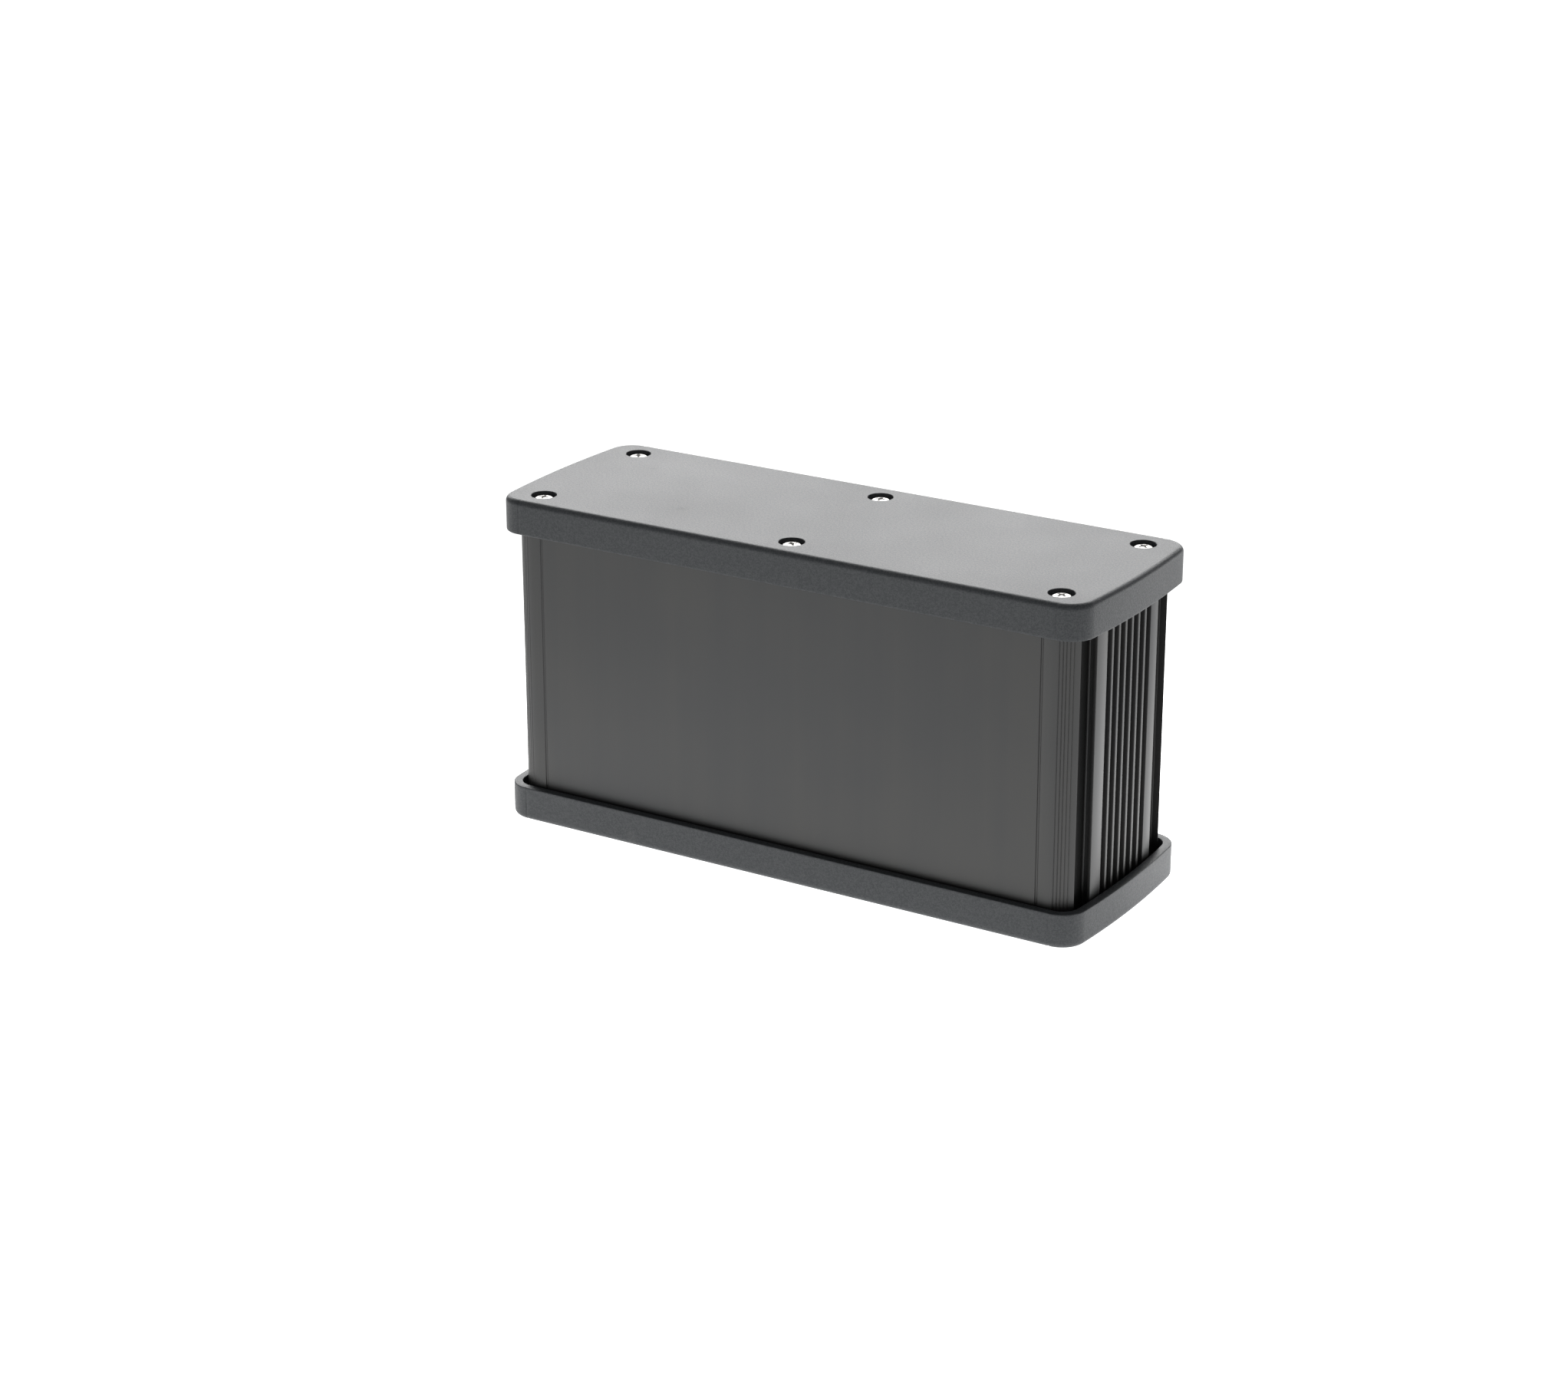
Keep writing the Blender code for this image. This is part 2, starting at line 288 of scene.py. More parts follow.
# %% [markdown]
# ## Finish of the covers
#
# The covers are moulded in a dark, slightly blue-grey material. The mould was sand-blasted, so the
# skin has a fine, even sand that scatters light into a soft sheen with tiny sparkles. Two grains of
# different sizes make that sand, as one alone looks like a computer's. Broad, faint clouds are left
# by the flow of the melt, and a few short rub marks by handling.

# %% Mix the moulded finish
def moulded_finish():
    finish = Finish("sanded_dark_moulding")
    sand = grain(finish, 0.6 * MM, 3.0)
    fine_sand = grain(finish, 0.3 * MM, 1.0)
    flow = grain(finish, 30 * MM, 2.0)
    rubs = step(finish, grain(finish, 6 * MM, 5.0), 0.66, 0.74)
    spots = step(finish, sand * 0.6 + fine_sand * 0.4, 0.38, 0.62)
    melt = blended(finish, spots, (0.028, 0.032, 0.036, 1), (0.052, 0.056, 0.060, 1))
    dust = blended(finish, rubs * 0.12, melt, (0.16, 0.16, 0.155, 1))
    finish.surface(
        base_color=dust,
        roughness=0.45 + flow * 0.08 + rubs * 0.05 - spots * 0.03,
        normal=relief(finish, sand * 0.6 + fine_sand * 0.4, 0.12 * MM, 0.65),
    )
    return finish.material


MOULDING = moulded_finish()
print(MOULDING.name, "has", len(MOULDING.node_tree.nodes), "nodes")

# %% [markdown]
# ## Finish of the case
#
# The case is aluminium pressed through a die, etched matt and anodised dark grey. The die leaves
# faint upright lines, the etching a very fine grain, and the dye bath broad clouds that are a touch
# warmer or cooler. The layer is partly clear, so it is a mixture: a dark metal, but not a mirror.

# %% Mix the anodised finish
def anodised_finish():
    finish = Finish("dark_anodised_aluminium")
    die_lines = stretched(finish, 0.25 * MM, 160 * MM)
    broad_lines = stretched(finish, 7 * MM, 400 * MM)
    etching = grain(finish, 0.2 * MM, 2.0)
    bath = grain(finish, 45 * MM, 2.0)
    tone = step(finish, bath * 0.6 + broad_lines * 0.4, 0.35, 0.65)
    dye = blended(finish, tone, (0.072, 0.073, 0.074, 1), (0.078, 0.078, 0.077, 1))
    rubbed = step(finish, die_lines, 0.66, 0.82)
    worn = blended(finish, rubbed * 0.1, dye, (0.12, 0.12, 0.118, 1))
    finish.surface(
        base_color=worn,
        metallic=0.85,
        roughness=0.38 + die_lines * 0.03 + etching * 0.05,
        normal=relief(finish, die_lines * 0.3 + etching * 0.7, 0.012 * MM, 0.4),
    )
    return finish.material


ANODISED = anodised_finish()
print(ANODISED.name, "has", len(ANODISED.node_tree.nodes), "nodes")

# %% [markdown]
# ## Finish of the screws
#
# The screws are bright plated steel. A head is turned or upset, so its sheen runs in rings about its
# own axis, and the recess, which the driver has been in, is duller. Its colour is also darkened with
# painted shade. All twelve screws share one material. They stand on a regular pattern, so a position
# can be wrapped: the distance to the nearest screw's axis is the same sum for each of them, and gives
# the rings and the recess.

# %% Mix the plated finish
def plated_finish():
    finish = Finish("bright_plated_steel")
    place = finish.node("ShaderNodeSeparateXYZ", {}, {0: finish.place}, "X")
    parts = place.socket.node.outputs
    across, back, up = (Amount(finish, parts[name]) for name in "XYZ")
    wrapped = across.sum("WRAP", across, -SCREW_X / 2, SCREW_X / 2)
    sideways = abs(back) - SCREW_Y
    radius = across.sum("POWER", wrapped * wrapped + sideways * sideways, 0.5)
    depth = BOX_HEIGHT / 2 - abs(up - BOX_HEIGHT / 2)
    turning = grain(finish, 0.09 * MM, 1.0, finish.node("ShaderNodeCombineXYZ", {}, {0: radius}))
    spangle = grain(finish, 0.5 * MM, 3.0)
    # in_recess marks the cross recess. It makes the recess rougher, which is real, and darkens its
    # colour, which is painted shade.
    in_recess = step(finish, depth, 1.0 * MM, 1.6 * MM) * step(finish, radius, 1.9 * MM, 1.6 * MM)
    plate = blended(finish, spangle, (0.60, 0.59, 0.57, 1), (0.78, 0.77, 0.75, 1))
    # painted shade: the plating colour inside the cross recess is darkened where shade falls
    recess_painted_shade = blended(finish, in_recess * 0.8, plate, (0.16, 0.15, 0.14, 1))
    finish.surface(
        base_color=recess_painted_shade,
        metallic=1.0,
        roughness=0.36 + spangle * 0.10 + in_recess * 0.10,
        normal=relief(finish, turning * 0.7 + spangle * 0.3, 0.006 * MM, 0.6),
    )
    return finish.material


PLATED = plated_finish()
print(PLATED.name, "has", len(PLATED.node_tree.nodes), "nodes")

# %% [markdown]
# ## Finish of the rubber
#
# Gaskets are stamped out of black sheet rubber and the rings are moulded in it. Both are nearly
# black and matt, with a fine leathery grain and a pale bloom where wax has come to the surface.

# %% Mix the rubber
def rubber_finish():
    finish = Finish("black_sheet_rubber")
    skin = grain(finish, 0.25 * MM, 4.0)
    bloom = step(finish, grain(finish, 9 * MM, 3.0), 0.45, 0.7)
    colour = blended(finish, bloom * 0.6, (0.012, 0.012, 0.012, 1), (0.032, 0.032, 0.031, 1))
    finish.surface(
        base_color=colour,
        roughness=0.70 + bloom * 0.15,
        normal=relief(finish, skin, 0.03 * MM, 0.5),
    )
    return finish.material


RUBBER = rubber_finish()
print(RUBBER.name, "has", len(RUBBER.node_tree.nodes), "nodes")

# %% [markdown]
# ## Finish of the floor
#
# The floor is matt white board, and its glow is painted light: it shines though no lamp stands under
# it. It has to stay plain, so its grain is barely there. The covers and the case mirror the floor
# close to them, and most of all what lies behind, so the painted glow is a pool of light that is
# stronger there. Everywhere it is bright enough to show as plain white.

# %% Paint the floor
GLOW_ALL = 0.80
GLOW_NEAR = 0.55
GLOW_BEHIND = 1.6
GLOW_START = 0.08  # metres from the middle of the box
GLOW_END = 0.32
BEHIND_START = -0.05  # metres, along the depth of the box
BEHIND_END = 0.12


def floor_finish():
    finish = Finish("glowing_white_board")
    parts = finish.node("ShaderNodeSeparateXYZ", {}, {0: finish.place}, "X").socket.node.outputs
    away = finish.node("ShaderNodeVectorMath", {"operation": "LENGTH"}, {0: finish.place}, "Value")
    near = step(finish, away, GLOW_START, GLOW_END, 1.0, 0.0)
    behind = step(finish, Amount(finish, parts["Y"]), BEHIND_START, BEHIND_END)
    # painted light: an even glow all over, plus a painted pool of light near the box and behind it
    glow = near * GLOW_NEAR + near * behind * GLOW_BEHIND + GLOW_ALL
    fibres = grain(finish, 4 * MM, 3.0)
    finish.surface(
        base_color=blended(finish, fibres, (0.50, 0.50, 0.50, 1), (0.53, 0.53, 0.53, 1)),
        roughness=0.9,
        emission_color=finish.node("ShaderNodeCombineColor", {}, {0: glow, 1: glow, 2: glow}),
        emission_strength=1.0,
    )
    return finish.material


floor.data.materials.append(floor_finish())
print("floor is", FLOOR_SIZE, "m wide")

# %% [markdown]
# ## A pen for outlines
#
# Covers, case and gaskets all have a constant outline: straight runs and arcs. It can be drawn as on
# paper. Extruding a single point draws a line, and spinning it about a centre draws an arc. Most of
# the outlines are the same in all four quarters, so one quarter is drawn and mirrored. The same pen,
# held upright, draws the profile of a screw.

# %% Make the pen
class Pen:
    """Draws in a bmesh, flat at a level, or upright as radius and height."""

    def __init__(self, mesh, start, level=0.0, upright=False):
        self.mesh = mesh
        self.level = level
        self.upright = upright
        self.tip = bmesh.ops.create_vert(mesh, co=self.point(start))["vert"][0]

    def point(self, stop):
        if self.upright:
            return Vector((stop[0], 0, stop[1]))
        return Vector((stop[0], stop[1], self.level))

    def line(self, *stops):
        for stop in stops:
            self.tip = bmesh.ops.extrude_vert_indiv(self.mesh, verts=[self.tip])["verts"][0]
            self.tip.co = self.point(stop)

    def arc(self, centre, degrees, steps):
        """Turns round a centre, to the left for positive degrees."""
        spun = bmesh.ops.spin(
            self.mesh,
            geom=[self.tip],
            cent=self.point(centre),
            axis=(0, -1, 0) if self.upright else (0, 0, 1),
            angle=math.radians(degrees),
            steps=steps,
            use_merge=False,
        )
        self.tip = spun["geom_last"][0]


def closed(mesh, axes, draw, *details):
    """Draws part of an outline, mirrors it until it closes, and returns its edges."""
    earlier = set(mesh.edges)
    draw(mesh, *details)
    for axis in axes:
        drawn = [edge for edge in mesh.edges if edge not in earlier]
        corners = list({vert for edge in drawn for vert in edge.verts})
        bmesh.ops.mirror(
            mesh, geom=corners + drawn, matrix=Matrix(), merge_dist=SEAM, axis=axis
        )
    return [edge for edge in mesh.edges if edge not in earlier]


def ring(mesh, place, radius, level, steps=48):
    """A circle about an upright axis. Returns its edges."""
    matrix = Matrix.Translation((*place, level))
    made = bmesh.ops.create_circle(
        mesh, cap_ends=False, segments=steps, radius=radius, matrix=matrix
    )
    return list({edge for vert in made["verts"] for edge in vert.link_edges})


def measure(name, axes, draw, *details):
    """Draws an outline on a sheet of its own, to print how long it is."""
    sheet = bmesh.new()
    drawn = closed(sheet, axes, draw, *details)
    print(name, "is", round(sum(edge.calc_length() for edge in drawn) / MM, 1), "mm long")
    sheet.free()


measure("a trial line", "X", lambda mesh: Pen(mesh, (0, 0)).line((5 * MM, 0)))


# %% [markdown]
# ## Walls, flats and finished pieces
#
# Outlines at different levels, bridged one to the next, are walls. What is still open at a level is a
# flat face with holes in it, and one fill closes it. Last, each mesh gets its faces turned outwards
# and its crisp edges marked, so that round parts shade smoothly and corners stay corners.

# %% Make the tools that close a shape
CRISP = math.radians(24)


def walls(mesh, loops):
    for near, far in zip(loops, loops[1:]):
        bmesh.ops.bridge_loops(mesh, edges=near + far)


def fill(mesh, level):
    """Closes what is still open at a level."""
    rim = [
        edge
        for edge in mesh.edges
        if len(edge.link_faces) < 2
        and all(abs(vert.co.z - level) < SEAM for vert in edge.verts)
    ]
    return bmesh.ops.triangle_fill(mesh, edges=rim, use_beauty=True)["geom"]


def rounded(mesh, edges, radius, steps):
    """Rounds edges over."""
    bmesh.ops.bevel(
        mesh,
        geom=edges,
        affect="EDGES",
        offset=radius,
        segments=steps,
        profile=0.5,
        material=-1,
    )


def finished(mesh, name):
    """Turns a closed bmesh into mesh data."""
    bmesh.ops.remove_doubles(mesh, verts=mesh.verts, dist=SEAM)
    bmesh.ops.recalc_face_normals(mesh, faces=mesh.faces)
    gaps = sum(not edge.is_manifold for edge in mesh.edges)
    data = bpy.data.meshes.new(name)
    mesh.to_mesh(data)
    mesh.free()
    data.shade_smooth()
    data.set_sharp_from_angle(angle=CRISP)
    print(name, "has", len(data.polygons), "faces and", gaps, "open edges")
    return data


def piece(node, body, data, material, place=Matrix()):
    """Stands for a node of the frame, and moves with its body."""
    own = data.copy()
    own.name = f"{node}_detail"
    own.transform(place)
    own.materials.clear()
    own.materials.append(material)
    shown = bpy.data.objects.new(f"{node}_detail", own)
    bpy.context.scene.collection.objects.link(shown)
    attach(shown, body)
    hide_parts(node)
    return shown


TURNED_OVER = Matrix.Translation((0, 0, BOX_HEIGHT)) @ Matrix.Rotation(math.pi, 4, "X")
print("edges that turn more than", round(math.degrees(CRISP)), "degrees stay crisp")

# %% [markdown]
# ## The covers
#
# A cover is a tray with a skirt that overhangs the case. Its long sides are straight, its ends bow out
# a little, and its corners are round. A scaled box with bevelled corners would miss the bow, so the
# outline is drawn with the pen, as on the mould maker's drawing.
#
# Where a corner meets a long side, the two halves of the mould's cavity leave a fine upright line.
# It is a notch in the outline, so it runs over the rounded edge as well.

# %% Draw the outline of a cover
CORNER = 8.0 * MM
END_BOW = 320.0 * MM
WITNESS_WIDTH = 0.5 * MM
WITNESS_DEPTH = 0.11 * MM
EASE = 0.4 * MM  # from a bevel to the outline that holds its shading


def cover_quarter(mesh, inset, level):
    bow_centre = COVER_LENGTH / 2 - END_BOW
    corner_y = COVER_WIDTH / 2 - CORNER
    reach = math.sqrt((END_BOW - CORNER) ** 2 - corner_y**2)
    turn = math.degrees(math.atan2(corner_y, reach))
    corner_x = bow_centre + reach
    side = COVER_WIDTH / 2 - inset
    pen = Pen(mesh, (COVER_LENGTH / 2 - inset, 0), level)
    pen.arc((bow_centre, 0), turn, 8)
    pen.arc((corner_x, corner_y), 90 - turn, 16)
    pen.line(
        (corner_x - WITNESS_WIDTH / 2, side - WITNESS_DEPTH),
        (corner_x - WITNESS_WIDTH, side),
        (corner_x - 3 * WITNESS_WIDTH, side),
        (corner_x / 2, side),
        (0, side),
    )


measure("the outline of a cover", "XY", cover_quarter, 0, 0)

# %% [markdown]
# The outer edge has a generous radius, the rim of the skirt a tiny one. Outlines are stacked from the
# flat of the outer face, down the skirt, round the rim and up inside to the gasket's seat, and bevels
# then round the edges. The extra outlines close to each bevel keep its shading from creeping over the
# flats. Drawing each outline anew, and not scaling the first, keeps the wall equally thick all round.

# %% Build the skirt
EDGE = 1.7 * MM
RIM = 2.7 * MM
RIM_EDGE = 0.3 * MM
SEAT = 5.3 * MM
SEAT_CORNER = 0.4 * MM


def skirt(mesh):
    stack = [
        (EDGE + EASE, 0),
        (0, 0),
        (0, EDGE + EASE),
        (0, COVER_HEIGHT - RIM_EDGE - EASE),
        (0, COVER_HEIGHT),
        (RIM, COVER_HEIGHT),
        (RIM, COVER_HEIGHT - RIM_EDGE - EASE),
        (RIM, SEAT + SEAT_CORNER + EASE),
        (RIM, SEAT),
        (RIM + SEAT_CORNER + EASE, SEAT),
    ]
    loops = [closed(mesh, "XY", cover_quarter, inset, level) for inset, level in stack]
    walls(mesh, loops)
    rounded(mesh, loops[1], EDGE, 10)
    rounded(mesh, loops[4] + loops[5], RIM_EDGE, 3)
    rounded(mesh, loops[8], SEAT_CORNER, 3)


print("the skirt is", round(RIM / MM, 1), "mm thick and rounded by", round(EDGE / MM, 1), "mm")


# %% [markdown]
# Inside its seat each cover is thinner, to save material and to leave a pad round every screw. The
# pocket's outline goes round the six pads, and round marks in its floor show where the mould's pins
# pushed the part out. The screws sit in counterbores whose mouths are slightly broken.

# %% Build the pocket and the counterbores
PLATE = 3.2 * MM
POCKET_X = 87.5 * MM
POCKET_Y = 26.0 * MM
PAD_RADIUS = 5.4 * MM
PIN_RADIUS = 2.5 * MM
PIN_DEPTH = 0.15 * MM
PIN_PLACES = [(x * 29 * MM, y * 14 * MM) for x in (-2, 0, 2) for y in (-1, 1)]
COUNTERBORE_RADIUS = 3.85 * MM
COUNTERBORE_DEPTH = 3.6 * MM
COUNTERBORE_BREAK = 0.15 * MM
THROUGH_RADIUS = 1.9 * MM


def ported_quarter(mesh, half_x, half_y, port, rails, level):
    """A rectangle that goes round the screws; rails, if any, stand on its short side."""
    rise = math.degrees(math.asin((half_y - SCREW_Y) / port))
    meet = math.degrees(math.acos((half_x - SCREW_X) / port))
    meet_y = SCREW_Y - port * math.sin(math.radians(meet))
    pen = Pen(mesh, (half_x, 0), level)
    for near, far, tip in rails:
        pen.line((half_x, near), (tip, near), (tip, far), (half_x, far))
    pen.line((half_x, meet_y))
    pen.arc((SCREW_X, SCREW_Y), meet - rise - 180, 20)
    pen.line((port * math.cos(math.radians(rise)), half_y))
    pen.arc((0, SCREW_Y), -90 - rise, 14)


def cover_mesh():
    mesh = bmesh.new()
    skirt(mesh)
    pocket = [
        closed(mesh, "XY", ported_quarter, POCKET_X, POCKET_Y, PAD_RADIUS, (), level)
        for level in (SEAT, PLATE)
    ]
    walls(mesh, pocket)
    for place in SCREW_PLACES:
        mouth = COUNTERBORE_RADIUS + COUNTERBORE_BREAK
        hole = [
            ring(mesh, place, mouth, 0),
            ring(mesh, place, COUNTERBORE_RADIUS, COUNTERBORE_BREAK),
            ring(mesh, place, COUNTERBORE_RADIUS, COUNTERBORE_DEPTH),
            ring(mesh, place, THROUGH_RADIUS, COUNTERBORE_DEPTH),
            ring(mesh, place, THROUGH_RADIUS, SEAT),
        ]
        walls(mesh, hole)
    for place in PIN_PLACES:
        walls(mesh, [ring(mesh, place, PIN_RADIUS, level) for level in (PLATE, PLATE - PIN_DEPTH)])
    for level in (0, SEAT, PLATE, PLATE - PIN_DEPTH):
        fill(mesh, level)
    return finished(mesh, "cover")


cover = cover_mesh()
piece("bottom_cover", "bottom_cover", cover, MOULDING)
piece("top_cover", "top_cover", cover, MOULDING, TURNED_OVER)

# %% [markdown]
# ## The case
#
# The case is one extrusion, so its section is the same all the way up: draw it, fill it, pull it up.
# From the front it runs along the long side, over a fine groove, round a corner with five thin reeds
# and over the lip of a T-slot. A rib with an overhanging head follows, and then six cooling fins. The
# back half is the same with a rib of another width, so both halves come from one run, and the
# left-hand end is a mirror image.

# %% Draw the section of the case
CASE_CORNER = 9.0 * MM
GROOVE_X = 84.4 * MM
GROOVE_WIDTH = 0.9 * MM
GROOVE_DEPTH = 0.4 * MM
REEDS = (18.0, 24.8, 31.0, 38.0, 45.0)  # degrees round the corner
REED_HALF = 1.3
REED_DEPTH = 0.25 * MM
LIP = 58.0  # degrees, where the corner ends at the T-slot
END_DEPTH = 3.6 * MM
SLOT_HEAD = 1.0 * MM
SLOT_UNDERCUT = 2.0 * MM
SLOT_BEAD = 0.4 * MM
RIB_OUTER = {-1: 19.9 * MM, 1: 18.2 * MM}  # front and back
RIB_INNER = 13.6 * MM
FIN_COUNT = 6
FIN_PITCH = 4.07 * MM
FIN_THICKNESS = 1.2 * MM
END_FLOOR = CASE_X - END_DEPTH


def reeded_corner(pen, side):
    """Goes round a corner; side is -1 at the front and 1 at the back."""
    centre = (CASE_X - CASE_CORNER, side * (CASE_Y - CASE_CORNER))

    def on_corner(degrees, radius):
        turn = math.radians(degrees)
        return centre[0] + radius * math.sin(turn), centre[1] + side * radius * math.cos(turn)

    reached = 0
    for reed in REEDS:
        pen.arc(centre, side * (reached - reed + REED_HALF), max(2, round((reed - reached) / 3)))
        reached = reed + REED_HALF
        pen.line(on_corner(reed, CASE_CORNER - REED_DEPTH), on_corner(reached, CASE_CORNER))
    pen.arc(centre, side * (reached - LIP), 4)


def side_run(mesh, side):
    """From the middle of a long side to the foot of the first fin."""
    face = side * CASE_Y
    groove = side * (CASE_Y - GROOVE_DEPTH)
    near = GROOVE_X - GROOVE_WIDTH / 2
    far = GROOVE_X + GROOVE_WIDTH / 2
    slope = GROOVE_DEPTH / 2
    pen = Pen(mesh, (0, face))
    pen.line((near, face), (near + slope, groove), (far - slope, groove), (far, face))
    pen.line((CASE_X - CASE_CORNER - EASE, face), (CASE_X - CASE_CORNER, face))
    reeded_corner(pen, side)
    lip_y = pen.tip.co.y
    stem = side * (RIB_OUTER[side] - SLOT_UNDERCUT)
    head = side * RIB_OUTER[side]
    under = CASE_X - SLOT_HEAD
    pen.line((END_FLOOR, lip_y), (END_FLOOR, stem + side * SLOT_BEAD))
    pen.line((END_FLOOR + SLOT_BEAD, stem), (under, stem), (under, head), (CASE_X, head))
    pen.line((CASE_X, side * RIB_INNER))


def fin_run(mesh):
    pen = Pen(mesh, (CASE_X, -RIB_INNER))
    pen.line((END_FLOOR, -RIB_INNER))
    for number in range(FIN_COUNT):
        middle = (number - (FIN_COUNT - 1) / 2) * FIN_PITCH
        low = middle - FIN_THICKNESS / 2
        high = middle + FIN_THICKNESS / 2
        pen.line((END_FLOOR, low), (CASE_X, low), (CASE_X, high), (END_FLOOR, high))
    pen.line((END_FLOOR, RIB_INNER), (CASE_X, RIB_INNER))


def right_half(mesh):
    side_run(mesh, -1)
    side_run(mesh, 1)
    fin_run(mesh)
    bmesh.ops.remove_doubles(mesh, verts=mesh.verts, dist=SEAM)


measure("the outer outline of the case", "X", right_half)

# %% [markdown]
# Nothing leaves a die with a knife edge. Bevelling the corners of the drawn section, before it is
# filled, gives every upright edge its small radius at once, and that radius is what catches the
# light along the fins. Inside there are six screw ports and two pairs of rails at each end, where a
# board could slide in.

# %% Fill the section and pull it up
WALL = 2.4 * MM
PORT_RADIUS = 4.1 * MM
PORT_BORE = 1.8 * MM
RAIL_HEIGHT = 2.0 * MM
RAIL_THICKNESS = 1.2 * MM
RAIL_PLACES = (7.8 * MM, 11.0 * MM)
DIE_RADIUS = 0.14 * MM


def turn_at(vert):
    """How sharply an outline turns at a corner."""
    first, second = (edge.other_vert(vert).co - vert.co for edge in vert.link_edges)
    return math.pi - first.angle(second)


def case_mesh():
    mesh = bmesh.new()
    closed(mesh, "X", right_half)
    inner_x = END_FLOOR - WALL
    rails = [(near, near + RAIL_THICKNESS, inner_x - RAIL_HEIGHT) for near in RAIL_PLACES]
    closed(mesh, "XY", ported_quarter, inner_x, CASE_Y - WALL, PORT_RADIUS, rails, 0)
    sharp = [vert for vert in mesh.verts if turn_at(vert) > CRISP]
    bmesh.ops.bevel(
        mesh,
        geom=sharp,
        affect="VERTICES",
        offset=DIE_RADIUS,
        segments=3,
        profile=0.5,
        clamp_overlap=True,
        material=-1,
    )
    print("the die rounds", len(sharp), "corners")
    for place in SCREW_PLACES:
        ring(mesh, place, PORT_BORE, 0, 32)
    bmesh.ops.translate(mesh, verts=mesh.verts, vec=(0, 0, case_low.z))
    flat = [item for item in fill(mesh, case_low.z) if isinstance(item, bmesh.types.BMFace)]
    pulled = bmesh.ops.extrude_face_region(mesh, geom=flat)["geom"]
    tops = [item for item in pulled if isinstance(item, bmesh.types.BMVert)]
    bmesh.ops.translate(mesh, verts=tops, vec=(0, 0, case_high.z - case_low.z))
    return finished(mesh, "case")


piece("case_body", "case", case_mesh(), ANODISED)

# %% [markdown]
# ## The screws
#
# A pan head has a domed crown and round shoulders. Its profile is drawn upright and spun, down to the
# tip of the core. The cross recess is an outline of its own: it is laid on the crown, joined to it by
# a fill, and pushed down in two steps while it shrinks, which gives the slanted sides that a driver
# centres in.

# %% Build the head and its recess
HEAD_RADIUS = 2.75 * MM
HEAD_HEIGHT = 2.0 * MM
CROWN = 9.0 * MM  # radius of the dome
CROWN_EDGE = 2.35 * MM
SHOULDER = 0.75 * MM
RECESS_RING = 2.0 * MM
CROSS_REACH = 1.65 * MM
CROSS_HALF = 0.36 * MM
CROSS_ROOT = 0.72 * MM
CROSS_DEPTH = 1.2 * MM
SHANK_RADIUS = 1.5 * MM
CORE_RADIUS = 1.22 * MM
TIP = -14.0 * MM


def crown_level(radius):
    return math.sqrt(CROWN**2 - radius**2) - CROWN


def head_profile(mesh):
    ring_turn = math.degrees(math.asin(RECESS_RING / CROWN))
    edge_turn = math.degrees(math.asin(CROWN_EDGE / CROWN))
    tilt = math.radians(edge_turn)
    shoulder_x = (CROWN - SHOULDER) * math.sin(tilt)
    shoulder_z = (CROWN - SHOULDER) * math.cos(tilt) - CROWN
    pen = Pen(mesh, (RECESS_RING, crown_level(RECESS_RING)), upright=True)
    pen.arc((0, -CROWN), ring_turn - edge_turn, 3)
    pen.arc((shoulder_x, shoulder_z), edge_turn - 90, 8)
    pen.line((HEAD_RADIUS, shoulder_z - 0.05 * MM), (HEAD_RADIUS, -HEAD_HEIGHT + 0.12 * MM))
    pen.line((HEAD_RADIUS - 0.12 * MM, -HEAD_HEIGHT), (SHANK_RADIUS, -HEAD_HEIGHT))
    pen.line((SHANK_RADIUS, -HEAD_HEIGHT - 0.5 * MM), (CORE_RADIUS, -HEAD_HEIGHT - 0.8 * MM))
    pen.line((CORE_RADIUS, TIP + 0.4 * MM), (CORE_RADIUS - 0.35 * MM, TIP), (0, TIP))


def cross_quarter(mesh):
    pen = Pen(mesh, (CROSS_REACH, 0))
    pen.line((CROSS_REACH - 0.06 * MM, 0.7 * CROSS_HALF), (CROSS_REACH - 0.22 * MM, CROSS_HALF))
    pen.line((CROSS_ROOT, CROSS_HALF * 1.15), (CROSS_HALF * 1.15, CROSS_ROOT))
    pen.line((CROSS_HALF, CROSS_REACH - 0.22 * MM), (0.7 * CROSS_HALF, CROSS_REACH - 0.06 * MM))
    pen.line((0, CROSS_REACH))


def sunk(mesh, edges, shrink, level):
    """Pulls an outline down to a level while it shrinks. Returns the new outline."""
    pulled = bmesh.ops.extrude_edge_only(mesh, edges=edges)["geom"]
    verts = [item for item in pulled if isinstance(item, bmesh.types.BMVert)]
    bmesh.ops.scale(mesh, verts=verts, vec=(shrink, shrink, 0))
    bmesh.ops.translate(mesh, verts=verts, vec=(0, 0, level))
    return [item for item in pulled if isinstance(item, bmesh.types.BMEdge)]


measure("the outline of the cross", "XY", cross_quarter)

# %% [markdown]
# The thread is a separate ridge: a small section, spun round the axis while it moves down by one
# pitch for each turn. Its two ends are drawn in until they vanish in the core. A ridge that stands in
# the core needs no cutting, and costs far fewer faces than a subtraction would.

# %% Add the thread
PITCH = 0.5 * MM
THREAD_TOP = -3.0 * MM
TURNS = 21
STEPS_A_TURN = 20


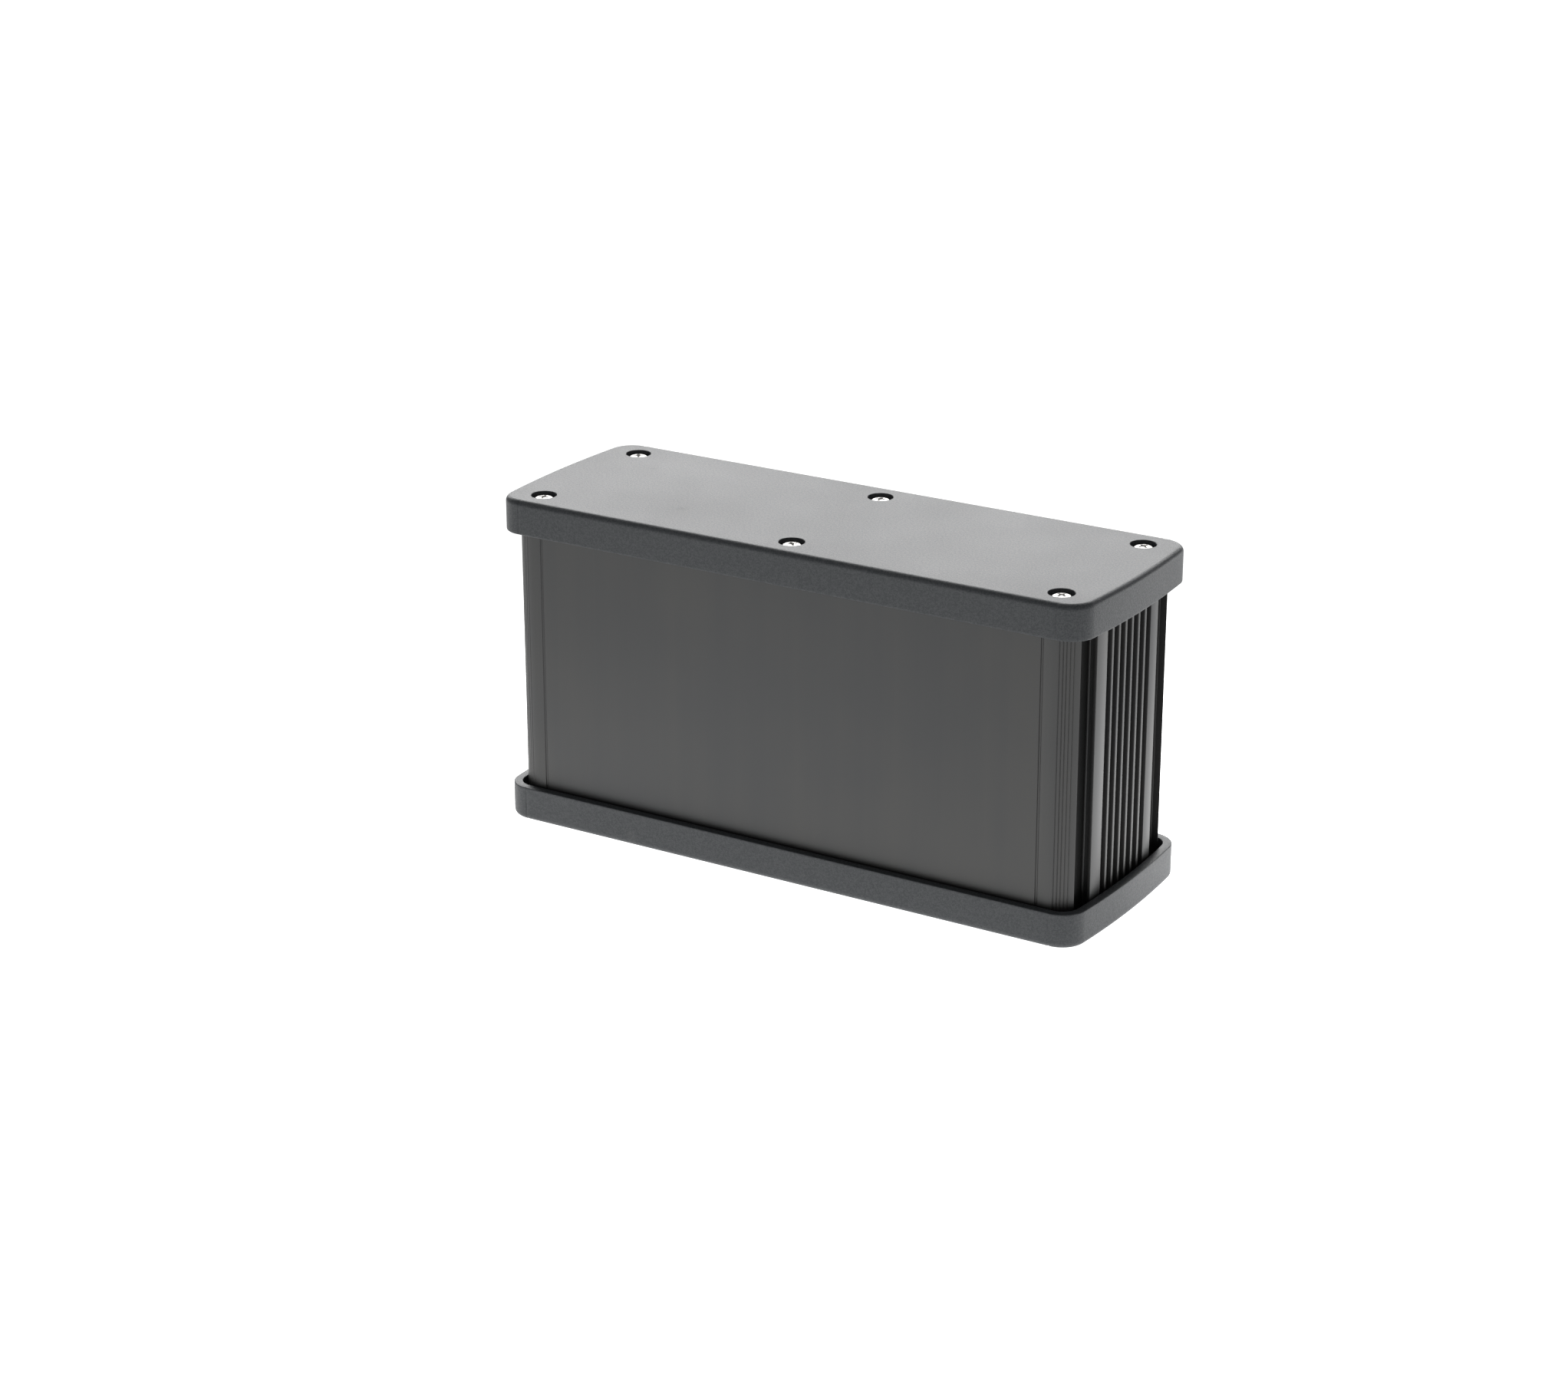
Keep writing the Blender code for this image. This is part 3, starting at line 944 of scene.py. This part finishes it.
def thread(mesh):
    foot = CORE_RADIUS - 0.08 * MM
    crest = SHANK_RADIUS
    pen = Pen(mesh, (foot, THREAD_TOP - 0.23 * MM), upright=True)
    pen.line((crest, THREAD_TOP - 0.04 * MM), (crest, THREAD_TOP + 0.04 * MM))
    pen.line((foot, THREAD_TOP + 0.23 * MM))
    first = [vert for vert in mesh.verts]
    section = bmesh.ops.contextual_create(mesh, geom=first)["faces"]
    spun = bmesh.ops.spin(
        mesh,
        geom=section,
        axis=(0, 0, 1),
        dvec=(0, 0, -PITCH / STEPS_A_TURN),
        angle=math.tau * TURNS,
        steps=TURNS * STEPS_A_TURN,
        use_merge=False,
    )
    last = [item for item in spun["geom_last"] if isinstance(item, bmesh.types.BMVert)]
    bmesh.ops.scale(mesh, verts=last, vec=(0.75, 0.75, 1))
    opening = [edge for edge in mesh.edges if edge.is_boundary]
    start = list({vert for edge in opening for vert in edge.verts})
    bmesh.ops.scale(mesh, verts=start, vec=(0.75, 0.75, 1))
    bmesh.ops.holes_fill(mesh, edges=opening, sides=0)


def screw_mesh():
    mesh = bmesh.new()
    head_profile(mesh)
    bmesh.ops.spin(
        mesh,
        geom=mesh.verts[:] + mesh.edges[:],
        axis=(0, 0, 1),
        angle=math.tau,
        steps=48,
        use_merge=True,
    )
    bmesh.ops.remove_doubles(mesh, verts=mesh.verts, dist=SEAM)
    mouth = [edge for edge in mesh.edges if edge.is_boundary]
    cross = closed(mesh, "XY", cross_quarter)
    bmesh.ops.subdivide_edges(mesh, edges=cross, cuts=2)
    cross = [edge for edge in mesh.edges if edge.is_wire]
    for vert in {vert for edge in cross for vert in edge.verts}:
        vert.co.z = crown_level(vert.co.xy.length)
    bmesh.ops.triangle_fill(mesh, edges=mouth + cross, use_beauty=True)
    slanted = sunk(mesh, cross, 0.66, -CROSS_DEPTH)
    cone = sunk(mesh, slanted, 0.25, -CROSS_DEPTH - 0.35 * MM)
    bmesh.ops.triangle_fill(mesh, edges=cone, use_beauty=True)
    ridge = bmesh.new()
    thread(ridge)
    ridge_data = bpy.data.meshes.new("ridge")
    ridge.to_mesh(ridge_data)
    ridge.free()
    mesh.from_mesh(ridge_data)
    return finished(mesh, "screw")


# %% [markdown]
# Every screw is turned to an angle of its own, as nobody lines up twelve crosses. The bottom screws
# are the top ones, turned over with their cover.

# %% Place the twelve screws
CROSS_ANGLES = (12, 48, 71, 33, 5, 58, 20, 80, 41, 66, 27, 3)

screw = screw_mesh()
_, screw_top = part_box("top_screw_1")
for number, (x, y) in enumerate(SCREW_PLACES, 1):
    name = f"top_screw_{number}"
    turned = Matrix.Rotation(math.radians(CROSS_ANGLES[number - 1]), 4, "Z")
    place = Matrix.Translation((x, y, screw_top.z)) @ turned
    piece(name, name, screw, PLATED, place)
    name = f"bottom_screw_{number}"
    turned = Matrix.Rotation(math.radians(CROSS_ANGLES[number + 5]), 4, "Z")
    place = TURNED_OVER @ Matrix.Translation((x, -y, screw_top.z)) @ turned
    piece(name, name, screw, PLATED, place)
print("screws placed:", 2 * len(SCREW_PLACES))

# %% [markdown]
# ## The seal rings
#
# A ring of soft rubber sits under every head. Four circles, bridged into a band with a rectangular
# section, make it, and a bevel that takes most of the thickness makes it plump.

# %% Build the seal rings
SEAL_BORE = 1.8 * MM
SEAL_EDGE = 0.18 * MM


def seal_mesh(radius, thickness):
    mesh = bmesh.new()
    corners = [(SEAL_BORE, 0), (radius, 0), (radius, thickness), (SEAL_BORE, thickness)]
    loops = [ring(mesh, (0, 0), reach, level) for reach, level in corners]
    walls(mesh, loops + loops[:1])
    rounded(mesh, [edge for loop in loops for edge in loop], SEAL_EDGE, 3)
    return finished(mesh, "seal_ring")


seal_low, seal_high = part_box("bottom_screw_seal_1")
seal = seal_mesh((seal_high.x - seal_low.x) / 2, seal_high.z - seal_low.z)
for number, (x, y) in enumerate(SCREW_PLACES, 1):
    low = Matrix.Translation((x, y, seal_low.z))
    name = f"bottom_screw_seal_{number}"
    piece(name, name, seal, RUBBER, low)
    high = TURNED_OVER @ Matrix.Translation((x, -y, seal_low.z))
    name = f"top_screw_seal_{number}"
    piece(name, name, seal, RUBBER, high)

# %% [markdown]
# ## The gaskets
#
# Each gasket is a narrow frame of sheet rubber with an eye round every screw. It is two outlines and
# six holes, with soft edges: each outline is drawn four times, drawn in a little at the top and the
# bottom.

# %% Build the gaskets
GASKET_CORNER = 7.0 * MM
GASKET_INNER_X = 89.6 * MM
GASKET_INNER_Y = 28.4 * MM
GASKET_EYE = 4.2 * MM
GASKET_EDGE = 0.22 * MM


def frame_quarter(mesh, half_x, half_y, corner, level):
    pen = Pen(mesh, (half_x, 0), level)
    pen.line((half_x, half_y - corner))
    pen.arc((half_x - corner, half_y - corner), 90, 12)
    pen.line((0, half_y))


def gasket_mesh(half_x, half_y, thickness):
    mesh = bmesh.new()
    edge = GASKET_EDGE
    stack = [(edge, 0), (0, edge), (0, thickness - edge), (edge, thickness)]
    outer = [
        closed(mesh, "XY", frame_quarter, half_x - i, half_y - i, GASKET_CORNER - i, level)
        for i, level in stack
    ]
    walls(mesh, outer)
    inner = []
    for i, level in stack:
        sizes = (GASKET_INNER_X + i, GASKET_INNER_Y + i, GASKET_EYE - i)
        inner.append(closed(mesh, "XY", ported_quarter, *sizes, (), level))
    walls(mesh, inner)
    for place in SCREW_PLACES:
        walls(mesh, [ring(mesh, place, THROUGH_RADIUS + i, level, 32) for i, level in stack])
    fill(mesh, 0)
    fill(mesh, thickness)
    return finished(mesh, "gasket")


gasket_low, gasket_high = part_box("bottom_gasket")
gasket = gasket_mesh(gasket_high.x, gasket_high.y, gasket_high.z - gasket_low.z)
seated = Matrix.Translation((0, 0, gasket_low.z))
piece("bottom_gasket", "bottom_cover", gasket, RUBBER, seated)
piece("top_gasket", "top_cover", gasket, RUBBER, TURNED_OVER @ seated)
